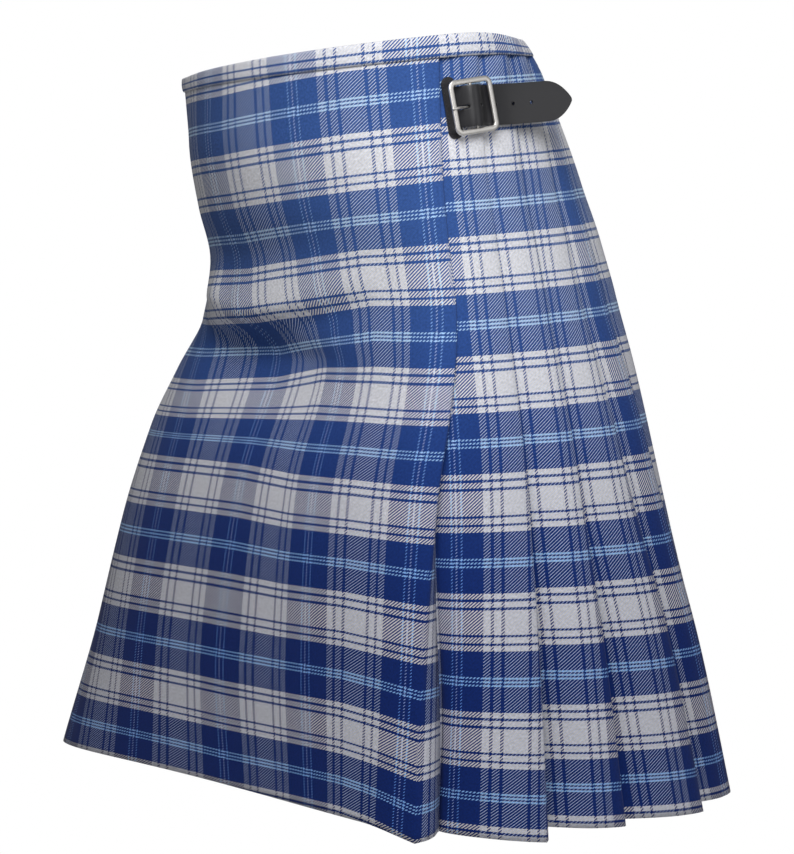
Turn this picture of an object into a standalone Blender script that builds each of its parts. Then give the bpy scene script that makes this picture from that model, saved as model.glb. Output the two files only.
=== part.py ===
"""Scottish kilt, worn and hollow: pleated wool wrap with two hip buckles.

The origin is the middle of the waist opening. +Z is up, the wearer faces -Y
and the wearer's left hip is at +X. Sizes are in metres.

Every cloth piece is placed by three numbers: how far it lies round the body
from the left hip (forward is negative, back is positive), how far down the
cloth it is as a share of the length, and how far it stands off the body line.
"""

import math

import bmesh
import bpy
import numpy as np
from mathutils import Matrix, Vector

MM = 0.001

# Driving dimensions
DROP = 0.579
WAIST_TILT = 0.116
HEM_TILT = -0.034
# How far the cloth drops at the hem: all round, towards the left hip, and at both hips
HEM_DROP = (0.0016, 0.011, 0.008)
FRONT_TURN = 0.22
CLOTH_WALL = 1.0 * MM
SEAM_GAP = 0.3 * MM
FOLD_SEAM_GAP = 0.6 * MM
PLEATS = 14
FELL_DEPTH = 0.32
BAND_HEIGHT = 0.014
BAND_STANDOFF = 1.8 * MM
BAND_LIP = 0.09
UNDER_LAP = 0.018

STRAP_WIDTH = 0.0315
STRAP_WALL = 1.8 * MM
STRAP_DEPTH = 0.087
STRAP_RISE = 0.09
BUCKLE_PLACE = 0.008
BUCKLE_WIDTH = 0.041
BUCKLE_HEIGHT = 0.043
BUCKLE_BAR = 4.3 * MM
BUCKLE_WALL = 2.8 * MM
BUCKLE_STANDOFF = 6.5 * MM
BUCKLE_TURN = math.radians(4.5)
CENTRE_BAR_RADIUS = 1.3 * MM
TAB_HEIGHT = 0.022
TAB_WALL = 0.8 * MM
PATCH_WIDTH = 0.0115
PATCH_HEIGHT = 0.048
PATCH_WALL = 1.2 * MM
PATCH_TURN = math.radians(3)

# Body line: depth share, half width, front, back (mm), front and back roundness
SECTIONS = np.array([
    (0.00, 157, 131, 131, 2.1, 2.0),
    (0.10, 161, 128, 161, 1.9, 2.0),
    (0.20, 166, 113, 189, 1.9, 2.0),
    (0.28, 172, 89, 206, 2.0, 2.1),
    (0.35, 181, 79, 219, 2.3, 2.1),
    (0.44, 196, 96, 229, 2.8, 2.2),
    (0.52, 209, 111, 236, 3.1, 2.3),
    (0.65, 224, 130, 252, 3.1, 2.4),
    (0.80, 238, 142, 275, 3.2, 2.5),
    (1.00, 252, 154, 300, 4.0, 2.6),
])

# Left fold edges: depth share, apron fold, then pleats 1 to 4 (mm from the left hip)
LEFT_FOLDS = np.array([
    (0.00, -17, 18, 53, 88, 123),
    (0.16, -17, 22, 60, 101, 140),
    (0.32, -14, 30, 73, 116, 160),
    (0.59, -52, 27, 80, 143, 206),
    (0.76, -70, 25, 88, 170, 240),
    (1.00, -87, 23, 98, 197, 289),
])

# Pleat shape: depth share, under-fold, outer and inner standoff, fold radius (mm)
PLEAT_SHAPE = np.array([
    (0.00, 13, 0, -3.2, 0.8),
    (0.32, 14, 0, -3.2, 0.8),
    (0.44, 15, 0, -7.5, 1.2),
    (0.59, 17, 0, -16.0, 1.8),
    (0.80, 22, 0, -28.0, 2.4),
    (1.00, 28, 0, -38.0, 3.0),
])

# Apron fold: depth share, under-fold (negative opens forward), inner standoff (mm)
APRON_FOLD = np.array([
    (0.00, 13, -3.2),
    (0.32, 14, -3.2),
    (0.44, 10, -7.0),
    (0.59, 2, -16.0),
    (0.80, -14, -30.0),
    (1.00, -29, -44.0),
])

# Under apron: depth share, standoff, how far its free edge stops short of the left hip (mm)
UNDER_SHAPE = np.array([
    (0.00, -8, 60),
    (0.32, -8, 70),
    (1.00, -16, 140),
])

# Buckled strap past the slot, in its seat: along, out (mm)
STRAP_RUN = [
    (-9.8, 3.0), (-7.3, 6.1), (-4.2, 9.2), (-2.0, 10.3), (0.3, 10.6), (2.6, 10.2), (5.0, 8.8),
    (10.0, 5.0), (14.0, 3.4), (20.5, 3.2), (27.5, 2.4), (35.4, 1.8), (43.4, 1.7), (51.4, 2.0),
    (63.0, 3.0), (71.0, 3.8),
]
TIP_START = 0.071
TIP_END = 0.094
TIP_OUT = 6.4 * MM
TIP_POINT = 1.0 * MM
TIP_STOPS = (0.25, 0.45, 0.6, 0.73, 0.84, 0.93, 1.0)
HOLES = (0.0055, 0.0225, 0.0405, 0.0575)
HOLE_RADIUS = 1.5 * MM

CLOTH_ROWS = (0.0, 0.10, 0.20, 0.28, 0.35, 0.44, 0.54, 0.67, 0.83, 1.0)


def table(rows, depth, column):
    return float(np.interp(depth, rows[:, 0], rows[:, column]))


class BodyLine:
    """The closed line round the body at one depth, read by distance from the left hip."""

    angles = np.radians(np.arange(-200.0, 346.0, 0.5))

    def __init__(self, depth):
        half, front, back, front_n, back_n = (table(SECTIONS, depth, k) for k in range(1, 6))
        cos, sin = np.cos(self.angles), np.sin(self.angles)
        ahead = sin < 0
        power = 2 / np.where(ahead, front_n, back_n)
        x = half * np.sign(cos) * np.abs(cos) ** power
        y = np.where(ahead, front, back) * np.sign(sin) * np.abs(sin) ** power
        y = y + np.where(ahead, FRONT_TURN * depth * x * np.abs(sin), 0)
        self.x, self.y = x * MM, y * MM
        steps = np.hypot(np.diff(self.x), np.diff(self.y))
        run = np.concatenate([[0], np.cumsum(steps)])
        self.run = run - np.interp(0, self.angles, run)
        tilt = WAIST_TILT * (1 - depth) + HEM_TILT * depth
        level, lean, dip = HEM_DROP
        hip = x / half
        self.z = -DROP * depth + tilt * self.y - depth * (level + lean * hip + dip * hip ** 2)
        along_x, along_y = np.gradient(self.x), np.gradient(self.y)
        size = np.hypot(along_x, along_y)
        self.out_x, self.out_y = along_y / size, -along_x / size

    def at_angle(self, degrees):
        return float(np.interp(math.radians(degrees), self.angles, self.run))

    def point(self, run, out):
        x, y, z, out_x, out_y = (
            float(np.interp(run, self.run, values))
            for values in (self.x, self.y, self.z, self.out_x, self.out_y)
        )
        return Vector((x + out * out_x, y + out * out_y, z))


LINES = {}


def line(depth):
    key = round(depth, 5)
    if key not in LINES:
        LINES[key] = BodyLine(depth)
    return LINES[key]


def fold_edges(depth):
    """Distances of the apron fold and of every pleat fold from the left hip."""
    left = [table(LEFT_FOLDS, depth, k) * MM for k in range(1, 6)]
    last = line(depth).at_angle(180) - left[0]
    return left + [float(v) for v in np.linspace(left[-1], last, PLEATS - 3)[1:]]


def opened(depth):
    """0 down to the fell, where the pleats are stitched, growing to 1 at the hem."""
    return max(0.0, (depth - FELL_DEPTH) / (1 - FELL_DEPTH))


def apron_return(depth):
    """The over apron's left fold and the cloth that turns in behind it, as (run, out)."""
    edge = fold_edges(depth)[0]
    radius = table(PLEAT_SHAPE, depth, 4) * MM
    under = table(APRON_FOLD, depth, 1) * MM
    inner = table(APRON_FOLD, depth, 2) * MM
    part = opened(depth)
    inside = edge - under
    outer = [(edge - radius, 0.0), (edge, -radius), (edge + radius * (2.2 * part - 1), -2 * radius)]
    valley = [
        (inside + radius * (1 - 2 * part), inner + radius * (2 - part)),
        (inside, inner + radius * (1 - part)),
        (inside + radius, inner + part * radius),
    ]
    return outer, valley


def between(start, end, share, gap=0.0):
    """The point a share of the way from start to end, moved on by a gap."""
    length = math.hypot(end[0] - start[0], end[1] - start[1])
    share = share + gap / length
    return (start[0] + (end[0] - start[0]) * share, start[1] + (end[1] - start[1]) * share)


SEAM_SHARE = 0.75


def over_apron_stops(depth):
    """Places across the over apron from its free edge, closer together at the left fold."""
    edge = fold_edges(depth)[0]
    free = line(depth).at_angle(-180) - edge + UNDER_LAP
    near = [edge - gap * MM for gap in (18, 12, 7)]
    return [float(s) for s in np.linspace(free, edge - 25 * MM, 28)] + near


def over_apron_row(depth):
    outer, valley = apron_return(depth)
    body = line(depth)
    points = [(s, 0.0) for s in over_apron_stops(depth)] + outer
    points.append(between(outer[-1], valley[0], 0.45))
    points.append(between(outer[-1], valley[0], SEAM_SHARE))
    return [body.point(*p) for p in points]


def pleat_points(depth):
    """The whole pleated length at one depth, from the apron seam to the under apron seam."""
    edges = fold_edges(depth)
    under, outer, inner, radius = (table(PLEAT_SHAPE, depth, k) * MM for k in range(1, 5))
    part = opened(depth)
    shoulder = outer - 0.14 * part * (outer - inner)
    start, valley = apron_return(depth)
    first = between(start[-1], valley[0], SEAM_SHARE, FOLD_SEAM_GAP)
    points = [first] + valley
    foot = valley[-1][1]
    for before, edge in zip(edges, edges[1:]):
        inside = edge - under
        first_foot = foot if before == edges[0] else inner
        leave = before + 2 * MM
        if before == edges[0]:
            leave = max(leave, valley[-1][0] + 2 * MM)
        points += [
            (leave, first_foot + 0.06 * (shoulder - first_foot)),
            (inside - 3 * MM, shoulder),
            (edge - radius, outer),
            (edge, outer - radius),
            (edge - radius, outer - 2 * radius),
            (inside + radius, inner + 2 * radius),
            (inside, inner + radius),
            (inside + radius, inner),
        ]
    points.append((points[-1][0] + 4 * MM, inner))
    return points


def pleats_row(depth):
    return [line(depth).point(*p) for p in pleat_points(depth)]


def under_apron_out(depth, run, edge):
    """How far in the under apron lies: level with the pleat's foot, then easing inward."""
    inner = table(PLEAT_SHAPE, depth, 3) * MM
    rest = table(UNDER_SHAPE, depth, 1) * MM
    share = min(1.0, max(0.0, (run - edge) / 0.030))
    lap = min(inner, -4.7 * MM)
    if run < edge:
        return inner
    if run < edge + 0.010:
        return inner + (lap - inner) * (run - edge) / 0.010
    return lap + (rest - lap) * share


def under_apron_stops(depth):
    """Places across the under apron, from the pleats round inside the over apron."""
    body = line(depth)
    edge = fold_edges(depth)[-1]
    start = pleat_points(depth)[-1][0] + SEAM_GAP
    end = body.at_angle(180) - body.at_angle(-180) - table(UNDER_SHAPE, depth, 2) * MM
    return [start, edge + 1 * MM, edge + 10 * MM] + [float(s) for s in np.linspace(edge + 0.020, end, 25)]


def under_apron_row(depth):
    edge = fold_edges(depth)[-1]
    return [line(depth).point(s, under_apron_out(depth, s, edge)) for s in under_apron_stops(depth)]


def collection(name, hidden=False):
    made = bpy.data.collections.new(name)
    made.hide_render = hidden
    bpy.context.scene.collection.children.link(made)
    return made


def material(name, color, roughness, metallic=0.0):
    made = bpy.data.materials.new(name)
    made.use_nodes = True
    shader = made.node_tree.nodes["Principled BSDF"]
    shader.inputs["Base Color"].default_value = (*color, 1)
    shader.inputs["Roughness"].default_value = roughness
    shader.inputs["Metallic"].default_value = metallic
    return made


def add_object(name, mesh, group, surface=None):
    made = bpy.data.objects.new(name, mesh)
    group.objects.link(made)
    if surface:
        mesh.materials.append(surface)
    return made


def sheet(name, rows, group, surface, wall):
    """A grid bent onto rows of points, given its wall with Solidify."""
    grid = bmesh.new()
    across, down = len(rows[0]), len(rows)
    bmesh.ops.create_grid(grid, x_segments=across - 1, y_segments=down - 1, size=1)
    for vert in grid.verts:
        column = round((vert.co.x + 1) / 2 * (across - 1))
        row = round((vert.co.y + 1) / 2 * (down - 1))
        vert.co = rows[down - 1 - row][column]
    mesh = bpy.data.meshes.new(name)
    grid.to_mesh(mesh)
    grid.free()
    made = add_object(name, mesh, group, surface)
    solid = made.modifiers.new("wall", "SOLIDIFY")
    solid.thickness = wall
    solid.offset = 0
    solid.use_even_offset = True
    mesh.shade_smooth()
    return made


def cut(target, cutter):
    cutter.hide_render = True
    cutter.display_type = "WIRE"
    made = target.modifiers.new("cut_" + cutter.name, "BOOLEAN")
    made.operation = "DIFFERENCE"
    made.object = cutter


def waistband_stops(depth):
    """Places along the binding as (run, outer standoff, inner standoff), on the cloth's own places."""
    edges = fold_edges(depth)
    last = edges[-1]
    inner, radius = table(PLEAT_SHAPE, depth, 3) * MM, table(PLEAT_SHAPE, depth, 4) * MM
    stops = [(s, BAND_STANDOFF, -BAND_STANDOFF) for s in over_apron_stops(depth)[:-3]]
    stops.append((edges[0] - 18 * MM, BAND_STANDOFF, inner - BAND_STANDOFF))
    pleated = [edges[0]] + [p[0] for k, p in enumerate(pleat_points(depth)[4:-1]) if k % 8 in (0, 1, 2)]
    pleated[-1] = last - radius
    stops += [(s, BAND_STANDOFF, inner - BAND_STANDOFF) for s in pleated]
    stops.append((last + 1.5 * MM, BAND_STANDOFF, inner - BAND_STANDOFF))
    for stop in under_apron_stops(depth)[2:]:
        layer = under_apron_out(depth, stop, last)
        stops.append((stop, layer + BAND_STANDOFF, layer - BAND_STANDOFF))
    return stops


def waistband_rows():
    """One binding strip: over apron, pleats, then on round over the under apron."""
    high, low = line(0.0), line(BAND_HEIGHT / DROP)
    rows = []
    for top, foot in zip(waistband_stops(0.0), waistband_stops(BAND_HEIGHT / DROP)):
        outer_top, inner_top = high.point(top[0], top[1]), high.point(top[0], top[2])
        outer_foot, inner_foot = low.point(foot[0], foot[1]), low.point(foot[0], foot[2])
        outer_lip = outer_top + (outer_top - outer_foot) * BAND_LIP
        inner_lip = inner_top + (inner_top - inner_foot) * BAND_LIP
        rows.append([outer_foot, outer_lip, inner_lip, inner_foot])
    return [list(column) for column in zip(*rows)]


def hip_point(depth, run, out, side):
    """A point at a distance from the left hip (side 1) or the right hip (side -1)."""
    body = line(depth)
    return body.point(run if side > 0 else body.at_angle(180) - run, out)


def seat(side):
    """A buckle's seat: X along the strap to the back, Z out from the hip; side 1 is left."""
    centre = hip_point(STRAP_DEPTH, BUCKLE_PLACE, 0, side)
    ahead = hip_point(STRAP_DEPTH, BUCKLE_PLACE + 1 * MM, 0, side)
    ahead = ahead - hip_point(STRAP_DEPTH, BUCKLE_PLACE - 1 * MM, 0, side)
    along = Vector((ahead.x, ahead.y, 0)).normalized()
    along = (along + Vector((0, 0, STRAP_RISE))).normalized()
    lean = (centre - hip_point(STRAP_DEPTH + 0.03, BUCKLE_PLACE, 0, side)) * side
    lean = (lean - along * lean.dot(along)).normalized()
    spot = Matrix((along, lean, along.cross(lean))).transposed().to_4x4()
    spot.translation = centre
    return spot


def in_seat(place, run, out, side):
    """A point at a distance from the hip and a standoff, as (along, out) of the seat."""
    local = place.inverted() @ hip_point(STRAP_DEPTH, run, out, side)
    return local.x, local.z


def strap_path(place, side):
    """The strap's middle line as (along, out), from its stitched root to the tip's start."""
    if side > 0:
        root = [in_seat(place, s, -5.6 * MM, side) for s in np.linspace(-0.075, -0.013, 6)]
        root += [(-18.1 * MM, -6.6 * MM), (-11.4 * MM, 1.0 * MM)]
    else:
        root = [in_seat(place, s, 2.0 * MM, side) for s in np.linspace(-0.085, -0.037, 5)]
        root += [(-22.0 * MM, 1.0 * MM), (-17.0 * MM, 1.6 * MM)]
    return root + [(x * MM, z * MM) for x, z in STRAP_RUN]


def strap(name, place, turned, side, group, surface, cutters):
    path = strap_path(place, side)
    half = STRAP_WIDTH / 2
    outline = [(x, z, half) for x, z in path]
    last = path[-1]
    for share in TIP_STOPS:
        x = TIP_START + (TIP_END - TIP_START) * share
        z = last[1] + (TIP_OUT - last[1]) * share
        outline.append((x, z, TIP_POINT + (half - TIP_POINT) * (1 - share ** 2.2) ** 0.9))
    rows = [[Vector((x, y * h, z)) for x, z, h in outline] for y in (1, 0, -1)]
    made = sheet(name, rows, group, surface, STRAP_WALL)
    made.matrix_world = place
    for k, along in enumerate(HOLES):
        drill(f"{name}_hole_{k + 1}", made, place, (along, 0, 4 * MM), HOLE_RADIUS, cutters)
    slot_through(f"{name}_prong_hole", made, turned, cutters)
    return made


def drill(name, target, place, spot, radius, cutters):
    shape = bmesh.new()
    bmesh.ops.create_cone(shape, cap_ends=True, segments=12, radius1=radius, radius2=radius, depth=0.02)
    mesh = bpy.data.meshes.new(name)
    shape.to_mesh(mesh)
    shape.free()
    cutter = add_object(name, mesh, cutters)
    cutter.matrix_world = place @ Matrix.Translation(spot)
    cut(target, cutter)


def block(name, size, group):
    shape = bmesh.new()
    bmesh.ops.create_cube(shape, size=1)
    bmesh.ops.scale(shape, vec=size, verts=shape.verts)
    mesh = bpy.data.meshes.new(name)
    shape.to_mesh(mesh)
    shape.free()
    return add_object(name, mesh, group)


def slot_through(name, target, place, cutters):
    """The long hole that the prong rises through, left of the centre bar."""
    cutter = block(name, (7.0 * MM, 3.2 * MM, 8.0 * MM), cutters)
    cutter.matrix_world = place @ Matrix.Translation((-8.2 * MM, 0, 5.9 * MM))
    cut(target, cutter)


def rounded_rectangle(width, height, corner, steps):
    points = []
    for turn in range(4):
        side_x = (1, -1, -1, 1)[turn]
        side_y = (1, 1, -1, -1)[turn]
        for k in range(steps + 1):
            angle = math.radians(90 * (turn + k / steps))
            x = side_x * (width / 2 - corner) + corner * math.cos(angle)
            y = side_y * (height / 2 - corner) + corner * math.sin(angle)
            points.append((x, y))
    return points


def plate(name, outlines, thickness, bevel, bevel_steps):
    """A flat outline with its holes, extruded, as a welded mesh."""
    curve = bpy.data.curves.new(name, "CURVE")
    curve.dimensions = "2D"
    curve.fill_mode = "BOTH"
    curve.extrude = thickness / 2 - bevel
    curve.bevel_depth = bevel
    curve.bevel_resolution = bevel_steps
    for outline in outlines:
        spline = curve.splines.new("POLY")
        spline.points.add(len(outline) - 1)
        for point, (x, y) in zip(spline.points, outline):
            point.co = (x, y, 0, 1)
        spline.use_cyclic_u = True
    helper = bpy.data.objects.new(name + "_outline", curve)
    bpy.context.scene.collection.objects.link(helper)
    graph = bpy.context.evaluated_depsgraph_get()
    mesh = bpy.data.meshes.new_from_object(helper.evaluated_get(graph))
    bpy.data.objects.remove(helper)
    shape = bmesh.new()
    shape.from_mesh(mesh)
    bmesh.ops.remove_doubles(shape, verts=shape.verts, dist=0.00001)
    bmesh.ops.recalc_face_normals(shape, faces=shape.faces)
    shape.to_mesh(mesh)
    shape.free()
    mesh.name = name
    return mesh


def buckle_frame(name, place, group, surface, cutters):
    inner_w = BUCKLE_WIDTH - 2 * BUCKLE_BAR
    inner_h = BUCKLE_HEIGHT - 2 * BUCKLE_BAR
    outlines = [
        rounded_rectangle(BUCKLE_WIDTH - 1.4 * MM, BUCKLE_HEIGHT - 1.4 * MM, 6.3 * MM, 5),
        rounded_rectangle(inner_w + 1.4 * MM, inner_h + 1.4 * MM, 3.2 * MM, 4),
    ]
    mesh = plate(name, outlines, BUCKLE_WALL, 0.7 * MM, 1)
    made = add_object(name, mesh, group, surface)
    made.matrix_world = place @ Matrix.Translation((0, 0, BUCKLE_STANDOFF))
    shape = bmesh.new()
    bmesh.ops.create_cone(
        shape, cap_ends=True, segments=12, radius1=CENTRE_BAR_RADIUS, radius2=CENTRE_BAR_RADIUS,
        depth=BUCKLE_HEIGHT - BUCKLE_BAR,
    )
    bar_mesh = bpy.data.meshes.new(name + "_bar")
    shape.to_mesh(bar_mesh)
    shape.free()
    bar = add_object(name + "_bar", bar_mesh, cutters)
    bar.matrix_world = made.matrix_world @ Matrix.Rotation(math.radians(90), 4, "X")
    bar.hide_render = True
    bar.display_type = "WIRE"
    join = made.modifiers.new("centre_bar", "BOOLEAN")
    join.operation = "UNION"
    join.object = bar
    return made


def prong(name, place, group, surface):
    """A tongue bent from flat bar: an eye on the centre bar and a shank to the front bar."""
    mid = BUCKLE_STANDOFF
    eye, wall = 2.1 * MM, 0.9 * MM
    path = []
    for k in range(11):
        angle = math.radians(-168 + 318 * k / 10)
        path.append((eye * math.cos(angle), mid + eye * math.sin(angle)))
    path = [(x, z) for x, z in reversed(path)]
    path += [(-6.0 * MM, mid - 0.9 * MM), (-9.0 * MM, mid - 0.6 * MM), (-15.2 * MM, mid + 2.1 * MM)]
    path += [(-18.5 * MM, mid + 2.4 * MM), (-21.3 * MM, mid + 2.2 * MM)]
    half = 1.1 * MM
    rows = [[Vector((x, y, z)) for x, z in path] for y in (half, -half)]
    made = sheet(name, rows, group, surface, wall)
    made.matrix_world = place
    return made


def buckle_tab(name, place, side, group, surface, cutters):
    """A leather strip folded round the centre bar, both ends stitched down behind it."""
    mid = BUCKLE_STANDOFF
    ring = CENTRE_BAR_RADIUS + 0.3 * MM + TAB_WALL / 2
    apart = TAB_WALL + 0.3 * MM
    stops = np.linspace(0.052, 0.018, 5)
    low = [in_seat(place, s, 1.3 * MM, side) for s in stops]
    high = [in_seat(place, s, 1.3 * MM + apart, side) for s in stops]
    loop = []
    for k in range(9):
        angle = math.radians(-100 - 300 * k / 8)
        loop.append((ring * math.cos(angle), mid + ring * math.sin(angle)))
    path = low + loop + high[::-1]
    rows = [[Vector((x, y, z)) for x, z in path] for y in (TAB_HEIGHT / 2, -TAB_HEIGHT / 2)]
    made = sheet(name, rows, group, surface, TAB_WALL)
    made.matrix_world = place
    notch = block(name + "_notch", (0.010, 3.4 * MM, 0.010), cutters)
    notch.matrix_world = place @ Matrix.Translation((-0.5 * MM, 0, mid))
    cut(made, notch)
    return made


def slot_patch(name, place, group, surface, slot):
    """A narrow leather patch with round ends, round the slot in the cloth."""
    outline = rounded_rectangle(PATCH_WIDTH, PATCH_HEIGHT, PATCH_WIDTH / 2 - 0.2 * MM, 5)
    mesh = plate(name, [outline], PATCH_WALL, 0.25 * MM, 1)
    made = add_object(name, mesh, group, surface)
    lean = Matrix.Rotation(PATCH_TURN, 4, "Z") @ Matrix.Rotation(math.radians(-12.4), 4, "Y")
    made.matrix_world = place @ Matrix.Translation((-15.2 * MM, 0, -1.15 * MM)) @ lean
    cut(made, slot)
    return made


def slot_cutter(place, cutters):
    """The slanting way that the left strap takes out through the cloth and the patch."""
    cutter = block("strap_slot", (STRAP_WALL + 1.1 * MM, STRAP_WIDTH + 0.9 * MM, 0.013), cutters)
    cutter.matrix_world = place @ Matrix.Translation((-14.9 * MM, 0, -3.0 * MM)) @ Matrix.Rotation(
        math.radians(41.4), 4, "Y")
    return cutter


def main():
    for old in list(bpy.data.objects):
        bpy.data.objects.remove(old)
    kilt = collection("scottish_kilt")
    cutters = collection("cutters", hidden=True)
    wool = material("tartan_wool", (0.28, 0.36, 0.55), 0.9)
    leather = material("black_leather", (0.02, 0.02, 0.022), 0.5)
    nickel = material("brushed_nickel", (0.62, 0.60, 0.57), 0.32, 1.0)
    left, right = seat(1), seat(-1)
    slot = slot_cutter(left, cutters)
    sheet("over_apron", [over_apron_row(t) for t in CLOTH_ROWS], kilt, wool, CLOTH_WALL)
    pleats = sheet("pleats", [pleats_row(t) for t in CLOTH_ROWS], kilt, wool, CLOTH_WALL)
    cut(pleats, slot)
    sheet("under_apron", [under_apron_row(t) for t in CLOTH_ROWS], kilt, wool, CLOTH_WALL)
    sheet("waistband", waistband_rows(), kilt, wool, CLOTH_WALL)
    slot_patch("slot_patch", left, kilt, leather, slot)
    for word, side, place in (("left", 1, left), ("right", -1, right)):
        turned = place @ Matrix.Rotation(BUCKLE_TURN * side, 4, "Z")
        strap(f"strap_{word}", place, turned, side, kilt, leather, cutters)
        buckle_frame(f"buckle_frame_{word}", turned, kilt, nickel, cutters)
        prong(f"prong_{word}", turned, kilt, nickel)
        buckle_tab(f"buckle_tab_{word}", turned, side, kilt, leather, cutters)


main()
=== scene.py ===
"""Scottish kilt, worn: tartan wool, leather hip straps and brushed buckles.

The cloth is laid out by three numbers, as its cutter would: the run round the
body from the left hip (back is positive), the depth down the cloth as a share
of its length, and the standoff from the body line. Sizes are in metres.
"""

import math

import bmesh
import bpy
import numpy as np
from mathutils import Matrix, Vector


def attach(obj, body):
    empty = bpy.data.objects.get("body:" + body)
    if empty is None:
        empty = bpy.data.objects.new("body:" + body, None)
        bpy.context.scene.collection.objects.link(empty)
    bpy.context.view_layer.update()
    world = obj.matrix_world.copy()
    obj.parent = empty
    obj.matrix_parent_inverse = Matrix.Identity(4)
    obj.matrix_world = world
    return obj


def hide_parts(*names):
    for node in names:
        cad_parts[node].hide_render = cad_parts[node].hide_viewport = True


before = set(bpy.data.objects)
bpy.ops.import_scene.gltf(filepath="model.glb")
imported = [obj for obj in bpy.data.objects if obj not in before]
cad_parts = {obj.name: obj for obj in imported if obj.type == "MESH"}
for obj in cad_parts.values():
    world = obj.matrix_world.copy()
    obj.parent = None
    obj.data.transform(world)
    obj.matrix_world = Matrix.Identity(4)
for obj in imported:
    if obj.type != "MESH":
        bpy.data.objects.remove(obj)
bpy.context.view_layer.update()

MM = 0.001

DROP = 0.579
WAIST_TILT = 0.116
HEM_TILT = -0.034
# How far the cloth drops at the hem: all round, towards the left hip, and at both hips
HEM_DROP = (0.0016, 0.011, 0.008)
FRONT_TURN = 0.22
CLOTH_WALL = 0.9 * MM
PLEATS = 14
FELL_DEPTH = 0.32
BAND_HEIGHT = 0.014
BAND_STANDOFF = 1.6 * MM
BAND_BULGE = 0.5 * MM
BAND_LIP = 1.0 * MM
BAND_STEPS = 7
# Where the band's own check starts, across and down
BAND_CHECK = (74 * MM, 2.2 * MM)
UNDER_LAP = 0.018
# Where the over apron ends and the pleats begin, between the fold and the valley behind it
SEAM_SHARE = 0.75
# How much lower a fold's free corner hangs at the hem, and over what length
CORNER_HANG = 7 * MM
CORNER_REACH = 0.045

STRAP_WIDTH = 0.0315
STRAP_WALL = 1.8 * MM
STRAP_DEPTH = 0.087
STRAP_RISE = 0.09
BUCKLE_PLACE = 0.008
BUCKLE_WIDTH = 0.041
BUCKLE_HEIGHT = 0.043
BUCKLE_BAR = 4.3 * MM
BUCKLE_WALL = 2.8 * MM
BUCKLE_CORNER = 4.4 * MM
CENTRE_BAR_RADIUS = 1.3 * MM
BUCKLE_STANDOFF = 6.5 * MM
BUCKLE_TURN = math.radians(4.5)
PATCH_SIZE = (0.0115, 0.048)
PATCH_WALL = 1.2 * MM
PATCH_TURN = math.radians(3)
PATCH_TILT = math.radians(-12.4)
PATCH_PLACE = (-15.2 * MM, 0, -1.15 * MM)
PATCH_SLOT = (16.4 * MM, 1.6 * MM)
PATCH_SLOT_PLACE = (1.4 * MM, 0)
STITCHES = 36
STITCH_INSET = 1.5 * MM
STITCH_SIZE = (1.0 * MM, 0.3 * MM, 0.3 * MM)

# Buckled strap past the slot, in its seat: along, out (mm)
STRAP_RUN = [
    (-9.8, 3.0), (-7.3, 6.1), (-4.2, 9.2), (-2.0, 10.3), (0.3, 10.6), (2.6, 10.2), (5.0, 8.8),
    (10.0, 5.0), (14.0, 3.4), (20.5, 3.2), (27.5, 2.4), (35.4, 1.8), (43.4, 1.7), (51.4, 2.0),
    (63.0, 3.0), (71.0, 3.8),
]
# Before it, by side (1 left, -1 right): runs on the hip (first, last, count), standoff, and the bend up (mm)
STRAP_ROOT = {
    1: ((-75, -13, 6), -5.6, [(-18.1, -6.6), (-11.4, 1.0)]),
    -1: ((-85, -37, 5), 2.0, [(-22.0, 1.0), (-17.0, 1.6)]),
}
STRAP_STEP = 0.75 * MM
STRAP_CROWN = 0.25 * MM
TIP_START = 0.071
TIP_END = 0.094
TIP_OUT = 6.4 * MM
HOLES = (0.0055, 0.0225, 0.0405, 0.0575)
HOLE_RADIUS = 1.4 * MM
PRONG_SLOT_PLACE = -8.2 * MM
PRONG_SLOT = (3.4 * MM, 1.5 * MM)

# Tongue past its eye: along, up from the centre bar (mm); then its half width and half height
PRONG_RUN = [(-6.0, -0.9), (-9.0, -0.6), (-15.2, 2.0), (-18.5, 2.3), (-21.4, 2.0)]
PRONG_EYE = 2.1 * MM
PRONG_SECTION = (1.0 * MM, 0.5 * MM)
WELD = 0.02 * MM

# Body line: depth share, half width, front, back (mm), front and back roundness
SECTIONS = np.array([
    (0.00, 157, 131, 124, 2.1, 2.0),
    (0.045, 158.8, 129.9, 144.6, 2.0, 2.0),
    (0.10, 161, 128, 161, 1.9, 2.0),
    (0.20, 166, 113, 189, 1.9, 2.0),
    (0.28, 172, 89, 206, 2.0, 2.1),
    (0.35, 181, 79, 219, 2.3, 2.1),
    (0.44, 196, 96, 229, 2.8, 2.2),
    (0.52, 209, 111, 236, 3.1, 2.3),
    (0.65, 224, 130, 252, 3.1, 2.4),
    (0.80, 238, 142, 275, 3.2, 2.5),
    (1.00, 252, 154, 300, 4.0, 2.6),
])

# Height of the waist edge over its plane: angle round the body (degrees), mm
WAIST_LIFT = np.array([
    (-150, -6), (-114, -7.3), (-104, -6.3), (-97, -4.3), (-83, -2.4), (-64, 0), (-37, 2.2), (0, 3.8),
    (15, 2.6), (28, -1.5), (36, -4), (60, -4.5), (120, -3),
])
# Depth share at which that height has faded away
LIFT_FADES = 0.045

# Left fold edges: depth share, apron fold, then pleats 1 to 4 (mm from the left hip)
LEFT_FOLDS = np.array([
    (0.00, -17, 18, 53, 88, 123),
    (0.16, -17, 22, 60, 101, 140),
    (0.32, -14, 30, 73, 116, 160),
    (0.59, -52, 27, 80, 143, 206),
    (0.76, -70, 25, 88, 170, 240),
    (1.00, -87, 23, 98, 197, 289),
])

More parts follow.
